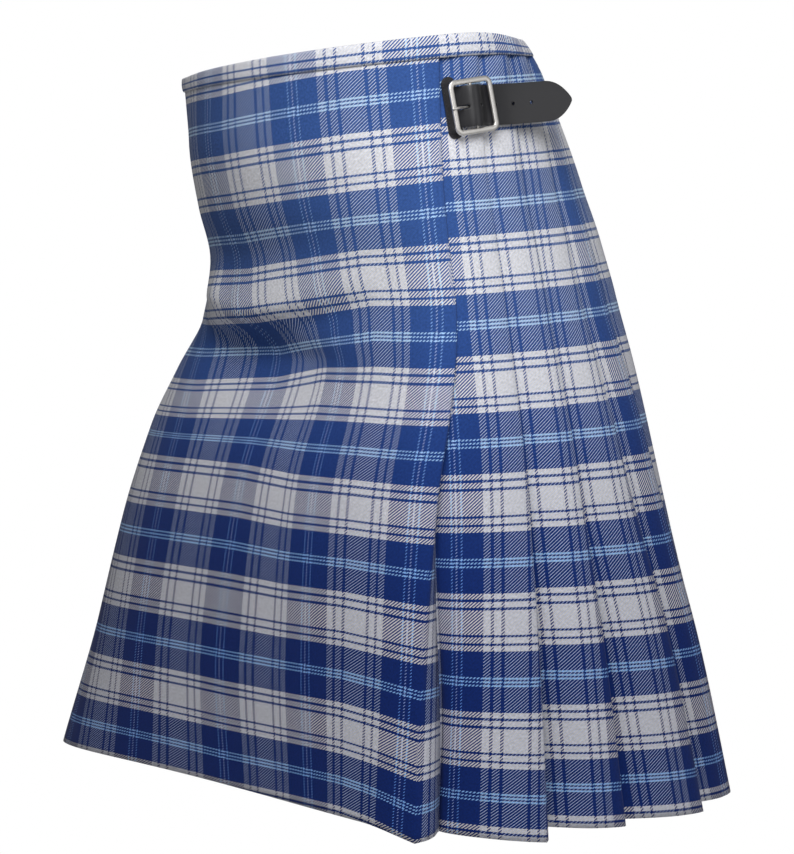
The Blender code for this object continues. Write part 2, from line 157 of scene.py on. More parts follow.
# Pleat shape: depth share, under-fold, outer and inner standoff, fold radius (mm)
PLEAT_SHAPE = np.array([
    (0.00, 13, 0, -3.2, 0.8),
    (0.32, 14, 0, -3.2, 0.8),
    (0.44, 15, 0, -7.5, 1.2),
    (0.59, 17, 0, -16.0, 1.8),
    (0.80, 22, 0, -28.0, 2.4),
    (1.00, 28, 0, -38.0, 3.0),
])

# Apron fold: depth share, under-fold (negative opens forward), inner standoff (mm)
APRON_FOLD = np.array([
    (0.00, 13, -3.2),
    (0.32, 14, -3.2),
    (0.44, 10, -7.0),
    (0.59, 2, -16.0),
    (0.80, -14, -30.0),
    (1.00, -29, -44.0),
])

# Under apron: depth share, standoff, how far its free edge stops short of the left hip (mm)
UNDER_SHAPE = np.array([
    (0.00, -8, 60),
    (0.32, -8, 70),
    (1.00, -16, 140),
])

# Check repeat down the cloth: depth share, cloth length below the waist (mm)
WEFT_PLACE = np.array([
    (0.000, 0), (0.110, 62), (0.265, 152), (0.418, 242), (0.570, 332),
    (0.713, 422), (0.856, 512), (0.990, 602), (1.000, 609),
])

# Where the check meets each pleat's fold: depth share, then pleats 1 to 3 (mm into the repeat)
CHECK_AT_FOLD = np.array([
    (0.00, 31, 43, 33),
    (0.17, 31, 44, 35),
    (0.32, 33, 47, 42),
    (0.52, 36, 51, 54),
    (0.76, 44, 57, 64),
    (1.00, 53, 63, 68),
])
# The same at the hem for pleats 4 to 14, which draw back by some 20 mm to the waist
LATER_FOLDS = (95, 60, 88, 55, 92, 60, 85, 57, 92, 59, 86)

# How the check drifts forward on the apron: depth share, then mm at each run from its fold
DRIFT_RUNS = (0, 50, 100, 150, 200, 250, 300, 400)
APRON_DRIFT = np.array([
    (0.00, 0, -3, -5, -2, -5, -8, -10, -10),
    (0.22, 4, 4, 0, 0, -8, -14, -16, -16),
    (0.53, 0, 4, 0, 9, 10, 6, -1, -8),
    (0.82, 4, 9, 7, 9, 4, 0, -7, -9),
    (1.00, 0, 7, 12, 15, 13, 5, -6, -15),
])

# How the check drops below its level place on the apron: depth share, then mm at each run
DROP_RUNS = (0, 70, 135, 200, 300)
APRON_DROP = np.array([
    (0.00, 0, 0, -4, -9, -12),
    (0.20, 4, 0, -5, -10, -14),
    (0.30, 2, 0, -8, -15, -18),
    (0.37, 0, 0, -9, -16, -20),
    (0.44, 0, 0, -2, -14, -20),
    (0.50, 2, 2, 0, -3, -8),
    (0.56, 3, 4, 3, 6, 6),
    (0.80, -2, 2, 0, -1, -1),
    (1.00, -4, 2, 0, -3, -3),
])

# How the check drops on the pleats: depth share, mm
PLEATS_DROP = np.array([(0.0, 6), (0.2, 7), (0.4, 8), (0.55, 11), (0.7, 8), (0.85, 6), (1.0, 3)])
CHECK_AT_APRON_FOLD = -5.45 * MM

# Soft folds of the apron: (run, depth share, height) along each crest, then its reach up and down (mm)
APRON_FOLDS = [
    ([(-400, 0.345, 0), (-330, 0.355, 3), (-280, 0.357, 15), (-230, 0.352, 22), (-180, 0.345, 18),
      (-125, 0.325, 9), (-70, 0.30, 0)], 32, 11),
    ([(-335, 0.320, 0), (-300, 0.326, 3), (-268, 0.331, 7), (-240, 0.335, 0)], 30, 8),
    ([(-380, 0.41, 0), (-330, 0.41, -3), (-285, 0.41, -12), (-235, 0.412, -18), (-180, 0.42, -16),
      (-125, 0.425, -10), (-80, 0.42, -6), (-40, 0.42, 0)], 18, 50),
]

# Depth shares of the cloth's rows, and the steps along each stretch between a pleat's knots
DEPTHS = np.linspace(0, 1, 104)
PLEAT_CUTS = [3, 9, 3, 3, 3, 5, 2, 2]
# Steps along the over apron: its flat front, then its fold and the cloth turned in behind
APRON_FLAT_STEPS = 76
APRON_FOLD_CUTS = [2, 2, 2, 4, 6]


def curve_through(table, column, depth):
    """A smooth reading of a table's column that never overshoots its rows."""
    xs, ys = table[:, 0], table[:, column]
    slope = np.diff(ys) / np.diff(xs)
    left, right = slope[:-1], slope[1:]
    same = left * right > 0
    mean = np.where(same, 2 * left * right / np.where(same, left + right, 1), 0)
    grade = np.concatenate([[slope[0]], mean, [slope[-1]]])
    k = int(np.clip(np.searchsorted(xs, depth) - 1, 0, len(xs) - 2))
    width = xs[k + 1] - xs[k]
    t = (depth - xs[k]) / width
    return float(
        (2 * t ** 3 - 3 * t ** 2 + 1) * ys[k] + (t ** 3 - 2 * t ** 2 + t) * width * grade[k]
        + (3 * t ** 2 - 2 * t ** 3) * ys[k + 1] + (t ** 3 - t ** 2) * width * grade[k + 1]
    )


ANGLE_STEP = 0.5
ANGLE_START, ANGLE_STOP = -200.0, 346.0
# The waist's height at each angle step, smoothed over 15 degrees to each side
SOFTEN = np.hanning(61)
SOFTEN_REACH = 15.0


def waist_rise():
    """The smoothed height of the waist edge at each of the body line's angles."""
    degrees = np.arange(ANGLE_START - SOFTEN_REACH, ANGLE_STOP + SOFTEN_REACH, ANGLE_STEP)
    lift = np.interp(degrees, WAIST_LIFT[:, 0], WAIST_LIFT[:, 1], period=360) * MM
    return np.convolve(lift, SOFTEN / SOFTEN.sum(), "valid")


class BodyLine:
    """The closed line round the body at one depth, read by run from the left hip."""

    angles = np.radians(np.arange(ANGLE_START, ANGLE_STOP, ANGLE_STEP))
    rise = waist_rise()

    def __init__(self, depth):
        half, front, back, front_n, back_n = (curve_through(SECTIONS, k, depth) for k in range(1, 6))
        cos, sin = np.cos(self.angles), np.sin(self.angles)
        ahead = sin < 0
        power = 2 / np.where(ahead, front_n, back_n)
        x = half * np.sign(cos) * np.abs(cos) ** power
        y = np.where(ahead, front, back) * np.sign(sin) * np.abs(sin) ** power
        y = y + np.where(ahead, FRONT_TURN * depth * x * np.abs(sin), 0)
        self.depth = depth
        self.x, self.y = x * MM, y * MM
        run = np.concatenate([[0], np.cumsum(np.hypot(np.diff(self.x), np.diff(self.y)))])
        self.run = run - np.interp(0, self.angles, run)
        tilt = WAIST_TILT * (1 - depth) + HEM_TILT * depth
        level, lean, dip = HEM_DROP
        hip = x / half
        self.lift = self.rise * max(0.0, 1 - depth / LIFT_FADES)
        self.z = -DROP * depth + tilt * self.y - depth * (level + lean * hip + dip * hip ** 2) + self.lift
        along_x, along_y = np.gradient(self.x), np.gradient(self.y)
        size = np.hypot(along_x, along_y)
        self.out_x, self.out_y = along_y / size, -along_x / size

    def at_angle(self, degrees):
        return float(np.interp(math.radians(degrees), self.angles, self.run))

    def lift_at(self, run):
        return np.interp(run, self.run, self.lift)

    def points(self, run, out, drop=0.0):
        x, y, z, out_x, out_y = (
            np.interp(run, self.run, values) for values in (self.x, self.y, self.z, self.out_x, self.out_y)
        )
        return np.stack([x + out * out_x, y + out * out_y, z - drop], axis=-1)


LINES = {}


def line(depth):
    key = round(float(depth), 6)
    if key not in LINES:
        LINES[key] = BodyLine(key)
    return LINES[key]


def fold_edges(depth):
    """Runs of the apron fold and of every pleat fold, from the left hip."""
    left = [curve_through(LEFT_FOLDS, k, depth) * MM for k in range(1, 6)]
    last = line(depth).at_angle(180) - left[0]
    return left + [float(v) for v in np.linspace(left[-1], last, PLEATS - 3)[1:]]


def opened(depth):
    """0 down to the fell, where the pleats are stitched, growing to 1 at the hem."""
    return max(0.0, (depth - FELL_DEPTH) / (1 - FELL_DEPTH))


def between(start, end, share):
    return (start[0] + (end[0] - start[0]) * share, start[1] + (end[1] - start[1]) * share)


def apron_return(depth):
    """The over apron's left fold and the cloth that turns in behind it, as (run, out)."""
    edge = fold_edges(depth)[0]
    radius = curve_through(PLEAT_SHAPE, 4, depth) * MM
    under = curve_through(APRON_FOLD, 1, depth) * MM
    inner = curve_through(APRON_FOLD, 2, depth) * MM
    part = opened(depth)
    inside = edge - under
    outer = [(edge - radius, 0.0), (edge, -radius), (edge + radius * (2.2 * part - 1), -2 * radius)]
    valley = [
        (inside + radius * (1 - 2 * part), inner + radius * (2 - part)),
        (inside, inner + radius * (1 - part)),
        (inside + radius, inner + part * radius),
    ]
    return outer, valley


def smooth_run(points, cuts):
    """Points along a soft curve through the given ones, with so many steps in each stretch."""
    points = np.array(points, float)
    padded = np.vstack([2 * points[0] - points[1], points, 2 * points[-1] - points[-2]])
    made = []
    for k, cut in enumerate(cuts):
        p0, p1, p2, p3 = padded[k:k + 4]
        t1 = max(np.linalg.norm(p1 - p0), 1e-6) ** 0.5
        t2 = t1 + max(np.linalg.norm(p2 - p1), 1e-6) ** 0.5
        t3 = t2 + max(np.linalg.norm(p3 - p2), 1e-6) ** 0.5
        t = (t1 + (t2 - t1) * np.arange(cut) / cut)[:, None]
        a1 = (t1 - t) / t1 * p0 + t / t1 * p1
        a2 = (t2 - t) / (t2 - t1) * p1 + (t - t1) / (t2 - t1) * p2
        a3 = (t3 - t) / (t3 - t2) * p2 + (t - t2) / (t3 - t2) * p3
        b1 = (t2 - t) / t2 * a1 + t / t2 * a2
        b2 = (t3 - t) / (t3 - t1) * a2 + (t - t1) / (t3 - t1) * a3
        made.append((t2 - t) / (t2 - t1) * b1 + (t - t1) / (t2 - t1) * b2)
    return np.vstack(made + [points[-1:]])


def lengths(path):
    return np.concatenate([[0], np.cumsum(np.hypot(*np.diff(path, axis=0).T))])


# ---------------------------------------------------------------- cloth pieces


def cloth(name, rows, check, material):
    """A grid laid on rows of points; check(row, column, face's first column) gives its place on the cloth."""
    across, down = len(rows[0]), len(rows)
    grid = bmesh.new()
    bmesh.ops.create_grid(grid, x_segments=across - 1, y_segments=down - 1, size=1)
    layer = grid.loops.layers.uv.new("cloth")
    place = {}
    for vert in grid.verts:
        column = round((vert.co.x + 1) / 2 * (across - 1))
        row = down - 1 - round((vert.co.y + 1) / 2 * (down - 1))
        place[vert.index] = (row, column)
        vert.co = rows[row][column]
    for face in grid.faces:
        first = min(place[loop.vert.index][1] for loop in face.loops)
        for loop in face.loops:
            row, column = place[loop.vert.index]
            loop[layer].uv = check(row, column, first)
    mesh = bpy.data.meshes.new(name)
    grid.to_mesh(mesh)
    grid.free()
    made = bpy.data.objects.new(name, mesh)
    bpy.context.scene.collection.objects.link(made)
    solid = made.modifiers.new("wall", "SOLIDIFY")
    solid.thickness = CLOTH_WALL
    solid.offset = 0
    solid.use_even_offset = True
    mesh.shade_smooth()
    mesh.materials.append(material)
    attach(made, "root")
    return made


def weft_at(depth):
    return curve_through(WEFT_PLACE, 1, depth) * MM


def spread(table, runs, depth, run):
    """A table's value between its depths and its runs."""
    row = [curve_through(table, k + 1, depth) for k in range(len(runs))]
    return np.interp(run, np.array(runs) * MM, row) * MM


def apron_relief(run, depth):
    """How far the apron stands off the body line in its folds, at the runs of one depth."""
    out = np.zeros(len(run))
    for crest, above, below in APRON_FOLDS:
        runs, depths, heights = np.array(crest).T
        fall = (depth - np.interp(run, runs * MM, depths)) * DROP / MM
        reach = np.where(fall > 0, below, above)
        out += np.interp(run, runs * MM, heights, left=0, right=0) * MM * np.exp(-((fall / reach) ** 2))
    return out


def apron_check(run, depth):
    """(across, down) of the apron's check at a run along its cloth from the left fold."""
    ahead = np.maximum(-run, 0)
    across = CHECK_AT_APRON_FOLD + run - np.where(run < 0, spread(APRON_DRIFT, DRIFT_RUNS, depth, ahead), 0)
    down = weft_at(depth) + spread(APRON_DROP, DROP_RUNS, depth, ahead)
    return across, down


def hang(depth, share):
    """How far a fold's free corner hangs below the rest of the hem; share is 1 at the fold."""
    return CORNER_HANG * depth ** 5 * np.clip(share, 0, 1) ** 1.5


def over_apron(material):
    rows, checks = [], []
    cuts = [1] * APRON_FLAT_STEPS + APRON_FOLD_CUTS
    at_fold = APRON_FLAT_STEPS + sum(APRON_FOLD_CUTS[:2])
    for depth in DEPTHS:
        body = line(depth)
        outer, valley = apron_return(depth)
        edge = fold_edges(depth)[0]
        free = body.at_angle(-180) - edge + UNDER_LAP
        stops = [(float(s), 0.0) for s in np.linspace(free, edge - 8 * MM, APRON_FLAT_STEPS + 1)]
        points = stops + [(edge - 4 * MM, 0.0)] + outer
        points.append(between(outer[-1], valley[0], 0.4))
        points.append(between(outer[-1], valley[0], SEAM_SHARE))
        path = smooth_run(points, cuts)
        run = lengths(path)
        across, down = apron_check(run - run[at_fold], depth)
        checks.append(np.stack([across, body.lift_at(path[:, 0]) - down], axis=-1))
        lower = hang(depth, 1 - np.abs(run - run[at_fold]) / CORNER_REACH)
        rows.append(body.points(path[:, 0], path[:, 1] + apron_relief(path[:, 0], depth), lower))
    made = cloth("over_apron_cloth", rows, lambda row, column, first: checks[row][column], material)
    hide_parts("over_apron")
    return made


def fold_check(depth, pleat):
    """How far into the check's repeat the fold of pleat 1, 2, ... lies."""
    if pleat <= 3:
        return curve_through(CHECK_AT_FOLD, pleat, depth) * MM
    at_hem = LATER_FOLDS[pleat - 4] * MM
    return at_hem - (20 * MM + 1.3 * MM * (pleat % 4)) * (1 - depth)


def pleats(material):
    """The pleated length; each pleat's check is measured from its own outer fold."""
    rows, widths, downs = [], [], []
    lead = [4, 3, 3]
    cuts = lead + PLEAT_CUTS * PLEATS + [1]
    period = sum(PLEAT_CUTS)
    apex = [sum(lead) + period * k + sum(PLEAT_CUTS[:3]) for k in range(PLEATS)]
    for depth in DEPTHS:
        edges = fold_edges(depth)
        under, outer, inner, radius = (curve_through(PLEAT_SHAPE, k, depth) * MM for k in range(1, 5))
        part = opened(depth)
        shoulder = outer - 0.14 * part * (outer - inner)
        start, valley = apron_return(depth)
        first = between(start[-1], valley[0], SEAM_SHARE)
        points = [first] + valley
        for before, edge in zip(edges, edges[1:]):
            inside = edge - under
            lowest, leave = inner, before + 2 * MM
            if before == edges[0]:
                lowest, leave = valley[-1][1], max(leave, valley[-1][0] + 2 * MM)
            points += [
                (leave, lowest + 0.06 * (shoulder - lowest)),
                (inside - 3 * MM, shoulder),
                (edge - radius, outer),
                (edge, outer - radius),
                (edge - radius, outer - 2 * radius),
                (inside + radius, inner + 2 * radius),
                (inside, inner + radius),
                (inside + radius, inner),
            ]
        points.append((points[-1][0] + 4 * MM, inner))
        path = smooth_run(points, cuts)
        run = lengths(path)
        widths.append([fold_check(depth, k + 1) + run - run[at] for k, at in enumerate(apex)])
        marks = run[[lead[0] - 1, apex[0], apex[0] + 6, apex[0] + 12]]
        lower = np.interp(run, marks, [0.3, 1, 0.5, 0])
        body = line(depth)
        rows.append(body.points(path[:, 0], path[:, 1], hang(depth, lower)))
        downs.append(weft_at(depth) + curve_through(PLEATS_DROP, 1, depth) * MM - body.lift_at(path[:, 0]))
    turn = sum(lead) + sum(PLEAT_CUTS[:6]) + 1

    def check(row, column, first):
        pleat = min(PLEATS - 1, max(0, (first - turn) // period + 1))
        return widths[row][pleat][column], -downs[row][column]

    made = cloth("pleats_cloth", rows, check, material)
    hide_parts("pleats")
    return made


def under_apron_out(depth, run, edge):
    """The under apron's standoff: level with the last pleat's inner fold, a step in, then its own."""
    inner = curve_through(PLEAT_SHAPE, 3, depth) * MM
    rest = curve_through(UNDER_SHAPE, 1, depth) * MM
    lap = min(inner, -4.7 * MM)
    past = run - edge
    if past < 0:
        return inner
    if past < 10 * MM:
        return inner + (lap - inner) * past / (10 * MM)
    return lap + (rest - lap) * min(1.0, past / (30 * MM))


def under_apron_end(body):
    """The run of the under apron's free edge."""
    return body.at_angle(180) - body.at_angle(-180) - curve_through(UNDER_SHAPE, 2, body.depth) * MM


def under_apron(material):
    rows, widths = [], []
    for depth in DEPTHS:
        body = line(depth)
        edge = fold_edges(depth)[-1]
        start = edge - curve_through(PLEAT_SHAPE, 1, depth) * MM + curve_through(PLEAT_SHAPE, 4, depth) * MM
        end = under_apron_end(body)
        seam = np.linspace(start + 4.3 * MM, edge + 30 * MM, 8)
        stops = np.concatenate([seam, np.linspace(edge + 36 * MM, end, 70)])
        outs = np.array([under_apron_out(depth, s, edge) for s in stops])
        widths.append(stops - edge + fold_check(depth, PLEATS))
        ahead = stops - body.at_angle(180) + body.at_angle(-180)
        rows.append(body.points(stops, outs + np.minimum(apron_relief(ahead, depth), 0)))
    downs = [weft_at(depth) for depth in DEPTHS]

    def check(row, column, first):
        return widths[row][column], -downs[row]

    made = cloth("under_apron_cloth", rows, check, material)
    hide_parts("under_apron")
    return made


def waistband(material):
    """A folded strip over the top edge, cut along the cloth, so its check shifts at the seam."""
    high, low = line(0.0), line(BAND_HEIGHT / DROP)
    inner = curve_through(PLEAT_SHAPE, 3, 0) * MM

    def stops(body):
        """(run, outer standoff, inner standoff) along the front, the pleats and the under apron."""
        edges = fold_edges(body.depth)
        free = body.at_angle(-180) - edges[0] + UNDER_LAP
        turn, lap = edges[0] - 18 * MM, edges[-1] + 1.5 * MM
        front = [(s, BAND_STANDOFF, -BAND_STANDOFF) for s in np.linspace(free, turn, 60)[:-1]]
        back = [(s, BAND_STANDOFF, inner - BAND_STANDOFF) for s in np.linspace(turn, lap, 84)]
        inside = []
        for s in np.linspace(edges[-1] + 10 * MM, under_apron_end(body), 62):
            layer = under_apron_out(body.depth, s, edges[-1])
            inside.append((s, layer + BAND_STANDOFF, layer - BAND_STANDOFF))
        return np.array(front + back + inside)

    top, foot = stops(high), stops(low)
    top_out, top_in = high.points(top[:, 0], top[:, 1]), high.points(top[:, 0], top[:, 2])
    foot_out, foot_in = low.points(foot[:, 0], foot[:, 1]), low.points(foot[:, 0], foot[:, 2])
    normal = (top_out - top_in) / np.linalg.norm(top_out - top_in, axis=1)[:, None]
    rows, downs = [], []
    for k in range(BAND_STEPS + 1):
        share = 1 - k / BAND_STEPS
        bulge = BAND_BULGE * (math.sin(math.pi * share) - (k == 0))
        rows.append(top_out + (foot_out - top_out) * share + normal * bulge)
        downs.append(14.5 * MM * share)
    for k in (1, 2, 3):
        angle = math.pi * k / 4
        centre, reach = (top_out + top_in) / 2, (top_out - top_in) / 2
        rows.append(centre + reach * math.cos(angle) + np.array([0, 0, BAND_LIP * math.sin(angle)]))
        downs.append(-1 * MM * k)
    for k in range(4):
        rows.append(top_in + (foot_in - top_in) * k / 3)
        downs.append(-4 * MM - 4.8 * MM * k)
    rows.reverse()
    downs.reverse()
    span = np.concatenate([[0], np.cumsum(np.linalg.norm(np.diff(top_out, axis=0), axis=1))])

    def check(row, column, first):
        return span[column] + BAND_CHECK[0], BAND_CHECK[1] - downs[row]

    made = cloth("waistband_cloth", rows, check, material)
    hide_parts("waistband")
    return made


# ------------------------------------------------------------- straps and buckles


def hip_point(depth, run, out, side):
    """A point at a distance from the left hip (side 1) or the right hip (side -1)."""
    body = line(depth)
    return Vector(body.points(run if side > 0 else body.at_angle(180) - run, out))


def seat(side):
    """A buckle's seat: X along the strap to the back, Z out from the hip; side 1 is left."""
    centre = hip_point(STRAP_DEPTH, BUCKLE_PLACE, 0, side)
    ahead = hip_point(STRAP_DEPTH, BUCKLE_PLACE + 1 * MM, 0, side)
    ahead = ahead - hip_point(STRAP_DEPTH, BUCKLE_PLACE - 1 * MM, 0, side)
    along = Vector((ahead.x, ahead.y, 0)).normalized()
    along = (along + Vector((0, 0, STRAP_RISE))).normalized()
    lean = (centre - hip_point(STRAP_DEPTH + 0.03, BUCKLE_PLACE, 0, side)) * side
    lean = (lean - along * lean.dot(along)).normalized()
    spot = Matrix((along, lean, along.cross(lean))).transposed().to_4x4()
    spot.translation = centre
    return spot


def in_seat(place, run, out, side):
    local = place.inverted() @ hip_point(STRAP_DEPTH, run, out, side)
    return local.x, local.z


def finish(name, shape, material, node, place, weld=WELD):
    """A piece from its bmesh, welded and moved to its place; node is the solid it replaces, if any."""
    bmesh.ops.remove_doubles(shape, verts=shape.verts, dist=weld)
    bmesh.ops.recalc_face_normals(shape, faces=shape.faces)
    bmesh.ops.transform(shape, matrix=place, verts=shape.verts)
    mesh = bpy.data.meshes.new(name)
    shape.to_mesh(mesh)
    shape.free()
    mesh.shade_smooth()
    mesh.materials.append(material)
    made = bpy.data.objects.new(name, mesh)
    bpy.context.scene.collection.objects.link(made)
    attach(made, "root")
    if node:
        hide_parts(node)
    return made


def thicken(made, wall_thickness, edge_width):
    """Give a flat leather piece its wall and softened edges."""
    wall = made.modifiers.new("wall", "SOLIDIFY")
    wall.thickness = wall_thickness
    wall.offset = 0
    edge = made.modifiers.new("edge", "BEVEL")
    edge.width = edge_width
    edge.segments = 2
    edge.limit_method = "ANGLE"
    edge.angle_limit = math.radians(50)


def punch(shape, spot, reach, turn=0.0):
    """Open a hole in a flat grid; reach is its half length and half height about the spot."""
    long, short = reach
    back = Matrix.Rotation(-turn, 2)

    def measure(vert):
        flat = back @ Vector((vert.co.x - spot[0], vert.co.y - spot[1]))
        stretch = max(0.0, abs(flat.x) - (long - short)) * (1 if flat.x > 0 else -1)
        return flat, math.hypot(stretch, flat.y)

    inside = [v for v in shape.verts if measure(v)[1] < short and abs(measure(v)[0].x) < long]
    bmesh.ops.delete(shape, geom=inside, context="VERTS")
    for vert in shape.verts:
        if not vert.is_boundary:
            continue
        flat, size = measure(vert)
        if size > short + 1.2 * MM or abs(flat.x) > long + 1.2 * MM:
            continue
        middle = max(-(long - short), min(long - short, flat.x))
        away = Vector((flat.x - middle, flat.y)).normalized() * short
        flat = back.inverted() @ Vector((middle + away.x, away.y))
        vert.co.x, vert.co.y = spot[0] + flat.x, spot[1] + flat.y


def strap(word, place, side, material):
    """A strap laid as a sheet in its seat, with its tip, punched holes and prong slot."""
    stops, out, bend = STRAP_ROOT[side]
    root = [in_seat(place, s * MM, out * MM, side) for s in np.linspace(*stops)]
    knots = root + [(x * MM, z * MM) for x, z in bend + STRAP_RUN]
    last = knots[-1][1]
    knots += [(TIP_START + (TIP_END - TIP_START) * k, last + (TIP_OUT - last) * k) for k in (0.5, 1.0)]
    path = smooth_run(knots, [10] * (len(knots) - 1))
    run = lengths(path)
    steps = int(run[-1] / STRAP_STEP)
    xs = np.interp(np.linspace(0, run[-1], steps + 1), run, path[:, 0])
    half = STRAP_WIDTH / 2
    shape = bmesh.new()
    bmesh.ops.create_grid(shape, x_segments=steps, y_segments=42, size=1)
    for vert in shape.verts:
        x = xs[round((vert.co.x + 1) / 2 * steps)]
        share = min(1.0, max(0.0, (x - TIP_START) / (TIP_END - TIP_START)))
        reach = 1 * MM + (half - 1 * MM) * (1 - share ** 2.2) ** 0.9
        vert.co = (x, vert.co.y * reach, 0)
    for along in HOLES:
        punch(shape, (along, 0), (HOLE_RADIUS, HOLE_RADIUS))
    lean = BUCKLE_TURN * side
    punch(shape, (PRONG_SLOT_PLACE * math.cos(lean), PRONG_SLOT_PLACE * math.sin(lean)), PRONG_SLOT, lean)
    for vert in shape.verts:
        crown = STRAP_CROWN * (vert.co.y / half) ** 4
        vert.co.z = np.interp(vert.co.x, path[:, 0], path[:, 1]) - crown
    made = finish(f"strap_{word}_leather", shape, material, f"strap_{word}", place)
    thicken(made, STRAP_WALL, 0.35 * MM)


def swept(stations, section):
    """A bmesh swept through (centre, side, up) stations with a list of (side, up) offsets."""
    shape = bmesh.new()
    down, round_it = len(stations) - 1, len(section)
    bmesh.ops.create_grid(shape, x_segments=down, y_segments=round_it, size=1)
    for vert in shape.verts:
        centre, side, up = stations[round((vert.co.x + 1) / 2 * down)]
        a, b = section[round((vert.co.y + 1) / 2 * round_it) % round_it]
        vert.co = centre + side * a + up * b
    return shape


def soft_section(half_width, half_height, square, steps):
    """A rounded bar's section; a larger square makes it boxier."""
    section = []
    for k in range(steps):
        angle = 2 * math.pi * k / steps
        a, b = math.cos(angle), math.sin(angle)
        section.append((
            half_width * math.copysign(abs(a) ** (2 / square), a),
            half_height * math.copysign(abs(b) ** (2 / square), b),
        ))
    return section


def buckle_frame(word, place, material):
    """A cast frame of soft square bar with a round centre bar."""
    long = (BUCKLE_WIDTH - BUCKLE_BAR) / 2
    tall = (BUCKLE_HEIGHT - BUCKLE_BAR) / 2
    corner = BUCKLE_CORNER
    stations = []
    for turn in range(4):
        side_x, side_y = (1, -1, -1, 1)[turn], (1, 1, -1, -1)[turn]
        for k in range(13):
            angle = math.radians(90 * (turn + k / 12))
            side = Vector((math.cos(angle), math.sin(angle), 0))
            centre = Vector((side_x * (long - corner), side_y * (tall - corner), 0)) + side * corner
            stations.append((centre, side, Vector((0, 0, 1))))
    stations.append(stations[0])
    section = soft_section(BUCKLE_BAR / 2, BUCKLE_WALL / 2, 3.2, 24)
    section = [(a, b * (1.0 if a < 0 else 1 - 0.25 * (a / (BUCKLE_BAR / 2)) ** 2)) for a, b in section]
    shape = swept(stations, section)
    bmesh.ops.create_cone(
        shape, cap_ends=True, segments=20, radius1=CENTRE_BAR_RADIUS, radius2=CENTRE_BAR_RADIUS,
        depth=BUCKLE_HEIGHT - BUCKLE_BAR, matrix=Matrix.Rotation(math.radians(90), 4, "X"),
    )
    finish(
        f"buckle_frame_{word}_metal", shape, material, f"buckle_frame_{word}",
        place @ Matrix.Translation((0, 0, BUCKLE_STANDOFF)),
    )


def prong(word, place, material):
    """A round tongue, its eye closed on the centre bar and its tip over the front bar."""
    knots = []
    for k in range(11):
        angle = math.radians(150 - 318 * k / 10)
        knots.append((PRONG_EYE * math.cos(angle), BUCKLE_STANDOFF + PRONG_EYE * math.sin(angle)))
    knots += [(x * MM, BUCKLE_STANDOFF + z * MM) for x, z in PRONG_RUN]
    path = smooth_run(knots, [4] * (len(knots) - 1))
    stations = []
    for (x, z), (dx, dz) in zip(path, np.gradient(path, axis=0)):
        size = math.hypot(dx, dz)
        stations.append((Vector((x, 0, z)), Vector((0, 1, 0)), Vector((-dz / size, 0, dx / size))))
    shape = swept(stations, soft_section(*PRONG_SECTION, 2.4, 12))
    bmesh.ops.remove_doubles(shape, verts=shape.verts, dist=WELD)
    bmesh.ops.holes_fill(shape, edges=[edge for edge in shape.edges if edge.is_boundary], sides=0)
    finish(f"prong_{word}_metal", shape, material, f"prong_{word}", place)


def slot_patch(place, material):
    """The leather that faces the strap's slot, stitched down all round."""
    lean = Matrix.Rotation(PATCH_TURN, 4, "Z") @ Matrix.Rotation(PATCH_TILT, 4, "Y")
    spot = place @ Matrix.Translation(PATCH_PLACE) @ lean
    wide, tall = PATCH_SIZE
    shape = bmesh.new()
    bmesh.ops.create_grid(shape, x_segments=24, y_segments=96, size=1)
    for vert in shape.verts:
        y = vert.co.y * tall / 2
        beyond = max(0.0, abs(y) - (tall / 2 - wide / 2)) / (wide / 2)
        vert.co = (vert.co.x * wide / 2 * (math.sqrt(max(0.0, 1 - beyond ** 2)) * 0.97 + 0.03), y, 0)
    punch(shape, PATCH_SLOT_PLACE, PATCH_SLOT, math.radians(90) - PATCH_TURN)
    made = finish("slot_patch_leather", shape, material, "slot_patch", spot)
    thicken(made, PATCH_WALL, 0.3 * MM)
    stitches = bmesh.new()
    straight = tall - wide
    radius = wide / 2 - STITCH_INSET
    half_round = straight + math.pi * radius
    for k in range(STITCHES):
        far, at = divmod((k + 0.5) / STITCHES * 2 * half_round, half_round)
        x, y, turn = radius, at - straight / 2, 90.0
        if at > straight:
            angle = (at - straight) / radius
            x, y = radius * math.cos(angle), straight / 2 + radius * math.sin(angle)
            turn += math.degrees(angle)
        if far:
            x, y = -x, -y
        matrix = Matrix.Translation((x, y, PATCH_WALL / 2)) @ Matrix.Rotation(math.radians(turn), 4, "Z")
        matrix = matrix @ Matrix.Diagonal((*STITCH_SIZE, 1))
        bmesh.ops.create_icosphere(stitches, subdivisions=2, radius=1, matrix=matrix)
    finish("slot_patch_stitching", stitches, material, None, spot, weld=1e-7)


# ------------------------------------------------------------------- materials


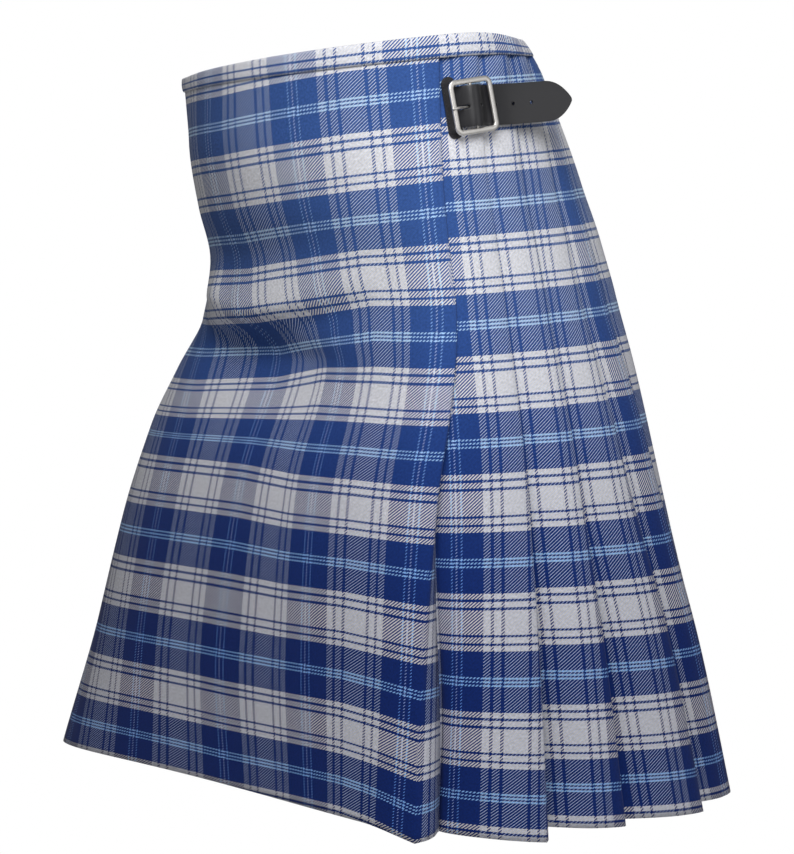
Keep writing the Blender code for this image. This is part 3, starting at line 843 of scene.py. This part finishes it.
class Shader:
    """Short names for building one material's nodes."""

    def __init__(self, name):
        self.material = bpy.data.materials.new(name)
        self.material.use_nodes = True
        self.tree = self.material.node_tree
        self.surface = self.tree.nodes["Principled BSDF"]

    def node(self, kind, **settings):
        made = self.tree.nodes.new(kind)
        for key, value in settings.items():
            setattr(made, key, value)
        return made

    def link(self, source, target):
        self.tree.links.new(source, target)

    def math(self, operation, first, second=None, third=None):
        made = self.node("ShaderNodeMath", operation=operation)
        for socket, value in zip(made.inputs, (first, second, third)):
            if value is None:
                continue
            if isinstance(value, (int, float)):
                socket.default_value = value
            else:
                self.link(value, socket)
        return made.outputs[0]

    def mix(self, share, first, second, blend="MIX"):
        made = self.node("ShaderNodeMix", data_type="RGBA", blend_type=blend)
        for socket, value in ((made.inputs[0], share), (made.inputs[6], first), (made.inputs[7], second)):
            if isinstance(value, (int, float)):
                socket.default_value = value
            elif isinstance(value, tuple):
                socket.default_value = (*value, 1)
            else:
                self.link(value, socket)
        return made.outputs[2]

    def noise(self, vector, scale, detail):
        made = self.node("ShaderNodeTexNoise")
        made.inputs["Scale"].default_value = scale
        made.inputs["Detail"].default_value = detail
        self.link(vector, made.inputs["Vector"])
        return made.outputs[0]

    def bump(self, height, strength, distance):
        made = self.node("ShaderNodeBump")
        made.inputs["Strength"].default_value = strength
        made.inputs["Distance"].default_value = distance
        self.link(height, made.inputs["Height"])
        self.link(made.outputs[0], self.surface.inputs["Normal"])


YARNS = {
    "ecru": (0.64, 0.63, 0.645),
    "blue": (0.016, 0.050, 0.205),
    "sky": (0.30, 0.50, 0.82),
    "pale": (0.52, 0.57, 0.76),
}
# The check's stripes in order: yarn, width (mm)
WHITE_DOWN = [
    ("ecru", 4.4), ("blue", 1.9), ("ecru", 4.4), ("blue", 1.9), ("ecru", 18.6), ("blue", 1.9), ("ecru", 4.4),
    ("blue", 1.9), ("ecru", 4.4),
]
BLUE_DOWN = [
    ("blue", 19.6), ("sky", 1.3), ("blue", 1.55), ("sky", 1.3), ("blue", 1.55), ("sky", 1.3), ("blue", 19.6),
]
WHITE_ACROSS = [
    ("ecru", 5.6), ("blue", 2.6), ("ecru", 5.6), ("blue", 2.6), ("ecru", 19.4), ("blue", 2.6), ("ecru", 5.6),
    ("blue", 2.6), ("ecru", 5.6),
]
BLUE_ACROSS = [
    ("blue", 17.35), ("sky", 1.5), ("blue", 2.8), ("pale", 1.5), ("blue", 2.8), ("sky", 1.5), ("blue", 17.35),
]
# How far below the waist the first blue band starts
FIRST_BAND = 15.4 * MM
# One thread of the twill, across and down
THREAD_ACROSS = 0.76 * MM
THREAD_DOWN = 0.62 * MM
# Where in a rib the weft or the warp lies on top: middle and half width, in shares of the rib
WEFT_ON_TOP = (0.61, 0.25)
WARP_ON_TOP = (0.10, 0.10)
WARP_TINT = (0.80, 0.92, 1.20)
# How much light a rib and the fuzz give back: span, least
RIB_SHADE = (0.30, 0.74)
FUZZ_SHADE = (0.90, 0.55)
FUZZ_SCALE = 560
# Painted light and shade down the cloth, lighter near the waist and darker towards the hem as the light falls
# off: from and to this depth (m), and the colour's power at each
PAINTED_FALLOFF = (("From Min", 0.13), ("From Max", 0.50), ("To Min", 0.80), ("To Max", 1.30))

LEATHER_TONES = ((0.010, 0.010, 0.012), (0.020, 0.020, 0.023))
NICKEL_TONES = ((0.66, 0.64, 0.61), (0.82, 0.80, 0.77))
GRAIN_SCALE = 1400
BRUSH_STRETCH = (900, 900, 120)


def sett(shader, position, stripes):
    """The yarn colours in order over one repeat, read at a length along the cloth."""
    repeat = sum(width for _, width in stripes) * MM
    share = shader.math("FRACT", shader.math("DIVIDE", position, repeat))
    ramp = shader.node("ShaderNodeValToRGB")
    ramp.color_ramp.interpolation = "CONSTANT"
    start = 0.0
    for k, (yarn, width) in enumerate(stripes):
        place = start / (repeat / MM)
        stop = ramp.color_ramp.elements[0] if k == 0 else ramp.color_ramp.elements.new(place)
        stop.position = place
        stop.color = (*YARNS[yarn], 1)
        start += width
    ramp.color_ramp.elements.remove(ramp.color_ramp.elements[-1])
    shader.link(share, ramp.inputs[0])
    return ramp.outputs[0]


def tartan():
    """A two-over-two wool twill: warp and weft stripes, ribs rising to the right, fuzz and bump, with painted
    light and shade down the cloth.
    """
    shader = Shader("tartan_wool")
    place = shader.node("ShaderNodeUVMap", uv_map="cloth")
    parts = shader.node("ShaderNodeSeparateXYZ")
    shader.link(place.outputs[0], parts.inputs[0])
    across = parts.outputs[0]
    down = shader.math("MULTIPLY", parts.outputs[1], -1.0)
    warp = sett(shader, across, WHITE_ACROSS + BLUE_ACROSS)
    weft = sett(shader, shader.math("SUBTRACT", down, FIRST_BAND), BLUE_DOWN + WHITE_DOWN)
    diagonal = shader.math(
        "ADD", shader.math("DIVIDE", across, 4 * THREAD_ACROSS), shader.math("DIVIDE", down, 4 * THREAD_DOWN),
    )
    phase = shader.math("FRACT", diagonal)
    darker = shader.mix(1.0, weft, warp, "DARKEN")
    colour = shader.mix(shader.math("COMPARE", phase, *WEFT_ON_TOP), darker, weft)
    cooler = shader.mix(1.0, warp, WARP_TINT, "MULTIPLY")
    colour = shader.mix(shader.math("COMPARE", phase, *WARP_ON_TOP), colour, cooler)
    # Painted light and shade: the colour's power grows down the cloth, so it is lighter near the waist and
    # darker towards the hem
    depth = shader.node("ShaderNodeMapRange", interpolation_type="SMOOTHSTEP")
    for socket, value in PAINTED_FALLOFF:
        depth.inputs[socket].default_value = value
    shader.link(down, depth.inputs["Value"])
    painted_falloff_colour = shader.node("ShaderNodeGamma")
    shader.link(colour, painted_falloff_colour.inputs["Color"])
    shader.link(depth.outputs[0], painted_falloff_colour.inputs["Gamma"])
    rib = shader.math("ABSOLUTE", shader.math("SINE", shader.math("MULTIPLY", phase, 2 * math.pi)))
    fuzz = shader.noise(place.outputs[0], FUZZ_SCALE, 2)
    light_on_rib = shader.math("MULTIPLY_ADD", rib, *RIB_SHADE)
    shade = shader.math("MULTIPLY", light_on_rib, shader.math("MULTIPLY_ADD", fuzz, *FUZZ_SHADE))
    tone = shader.node("ShaderNodeCombineColor")
    for socket in tone.inputs:
        shader.link(shade, socket)
    shaded = shader.mix(1.0, painted_falloff_colour.outputs[0], tone.outputs[0], "MULTIPLY")
    shader.link(shaded, shader.surface.inputs["Base Color"])
    shader.bump(shader.math("MULTIPLY_ADD", fuzz, 0.5, rib), 0.35, 0.25 * MM)
    shader.surface.inputs["Roughness"].default_value = 0.92
    shader.surface.inputs["Specular IOR Level"].default_value = 0.12
    shader.surface.inputs["Sheen Weight"].default_value = 0.05
    shader.surface.inputs["Sheen Roughness"].default_value = 0.5
    return shader.material


def leather():
    """Black strap leather with a fine grain."""
    shader = Shader("black_leather")
    place = shader.node("ShaderNodeTexCoord").outputs["Object"]
    grain = shader.node("ShaderNodeTexVoronoi", feature="DISTANCE_TO_EDGE")
    grain.inputs["Scale"].default_value = GRAIN_SCALE
    shader.link(place, grain.inputs["Vector"])
    cloud = shader.noise(place, 60, 4)
    black = shader.mix(cloud, *LEATHER_TONES)
    shader.link(black, shader.surface.inputs["Base Color"])
    shader.link(shader.math("MULTIPLY_ADD", cloud, 0.16, 0.30), shader.surface.inputs["Roughness"])
    shader.bump(grain.outputs[0], 0.2, 0.1 * MM)
    return shader.material


def nickel():
    """Nickel brushed along its length."""
    shader = Shader("brushed_nickel")
    stretch = shader.node("ShaderNodeMapping")
    stretch.inputs["Scale"].default_value = BRUSH_STRETCH
    shader.link(shader.node("ShaderNodeTexCoord").outputs["Object"], stretch.inputs["Vector"])
    brush = shader.noise(stretch.outputs[0], 4, 3)
    metal = shader.mix(brush, *NICKEL_TONES)
    shader.link(metal, shader.surface.inputs["Base Color"])
    shader.link(shader.math("MULTIPLY_ADD", brush, 0.25, 0.33), shader.surface.inputs["Roughness"])
    shader.surface.inputs["Metallic"].default_value = 1
    return shader.material


# ------------------------------------------------------- camera, light and floor


# Where the camera stands: its bearing from the front towards the wearer's left, distance and height
CAMERA_BEARING = math.radians(60)
CAMERA_DISTANCE = 2.5
CAMERA_HEIGHT = -0.205
# How far it is turned from the kilt's middle and tipped down, and its lens (mm)
CAMERA_SWING = math.radians(0.77074)
CAMERA_TIP = math.radians(2.24)
CAMERA_LENS = 139.194

# Lights: place, target, width of the square panel, power (W)
LIGHTS = {
    "key": ((0.94, -0.49, 0.58), (0.05, 0.0, -0.15), 0.75, 17),
    "side": ((1.5, 0.8, 0.10), (0.1, 0.1, -0.35), 0.9, 3),
    "far": ((-1.3, 0.9, 0.60), (0.0, 0.1, -0.3), 0.9, 7),
}
ROOM_LIGHT = 0.145
FLOOR_HEIGHT = -1.05


def camera():
    data = bpy.data.cameras.new("camera")
    data.sensor_fit = "HORIZONTAL"
    data.sensor_width = 36
    data.lens = CAMERA_LENS
    data.clip_end = 100
    made = bpy.data.objects.new("camera", data)
    bpy.context.scene.collection.objects.link(made)
    across, ahead = CAMERA_DISTANCE * math.sin(CAMERA_BEARING), CAMERA_DISTANCE * math.cos(CAMERA_BEARING)
    made.location = (across, -ahead, CAMERA_HEIGHT)
    made.rotation_euler = (math.radians(90) - CAMERA_TIP, 0, CAMERA_BEARING - CAMERA_SWING)
    bpy.context.scene.camera = made


def area_light(name, place, target, width, power):
    data = bpy.data.lights.new(name, "AREA")
    data.size = width
    data.energy = power
    made = bpy.data.objects.new(name, data)
    bpy.context.scene.collection.objects.link(made)
    made.location = place
    made.rotation_euler = (Vector(target) - Vector(place)).to_track_quat("-Z", "Y").to_euler()
    made.visible_camera = False


def studio():
    """A white backdrop that lights the kilt only faintly, three soft lights and a pale floor."""
    world = bpy.data.worlds.new("studio")
    world.use_nodes = True
    tree = world.node_tree
    room = tree.nodes["Background"]
    room.inputs[0].default_value = (1, 1, 1, 1)
    room.inputs[1].default_value = ROOM_LIGHT
    backdrop = tree.nodes.new("ShaderNodeBackground")
    backdrop.inputs[0].default_value = (1, 1, 1, 1)
    backdrop.inputs[1].default_value = 1.0
    seen = tree.nodes.new("ShaderNodeLightPath")
    both = tree.nodes.new("ShaderNodeMixShader")
    tree.links.new(seen.outputs["Is Camera Ray"], both.inputs[0])
    tree.links.new(room.outputs[0], both.inputs[1])
    tree.links.new(backdrop.outputs[0], both.inputs[2])
    tree.links.new(both.outputs[0], tree.nodes["World Output"].inputs[0])
    bpy.context.scene.world = world
    bpy.context.scene.view_settings.view_transform = "Standard"
    for name, settings in LIGHTS.items():
        area_light(name, *settings)
    shape = bmesh.new()
    bmesh.ops.create_circle(shape, cap_ends=True, segments=96, radius=2.0)
    mesh = bpy.data.meshes.new("floor")
    shape.to_mesh(mesh)
    shape.free()
    floor = bpy.data.objects.new("floor", mesh)
    floor.location.z = FLOOR_HEIGHT
    bpy.context.scene.collection.objects.link(floor)
    pale = Shader("pale_floor")
    pale.surface.inputs["Base Color"].default_value = (0.95, 0.95, 0.95, 1)
    pale.surface.inputs["Roughness"].default_value = 0.9
    mesh.materials.append(pale.material)


def main():
    camera()
    studio()
    wool = tartan()
    hide = leather()
    metal = nickel()
    made = over_apron(wool)
    made = pleats(wool)
    made = under_apron(wool)
    made = waistband(wool)
    left, right = seat(1), seat(-1)
    slot_patch(left, hide)
    for word, side, place in (("left", 1, left), ("right", -1, right)):
        turned = place @ Matrix.Rotation(BUCKLE_TURN * side, 4, "Z")
        strap(word, place, side, hide)
        buckle_frame(word, turned, metal)
        prong(word, turned, metal)
        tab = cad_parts[f"buckle_tab_{word}"]
        tab.data.materials.clear()
        tab.data.materials.append(hide)


main()
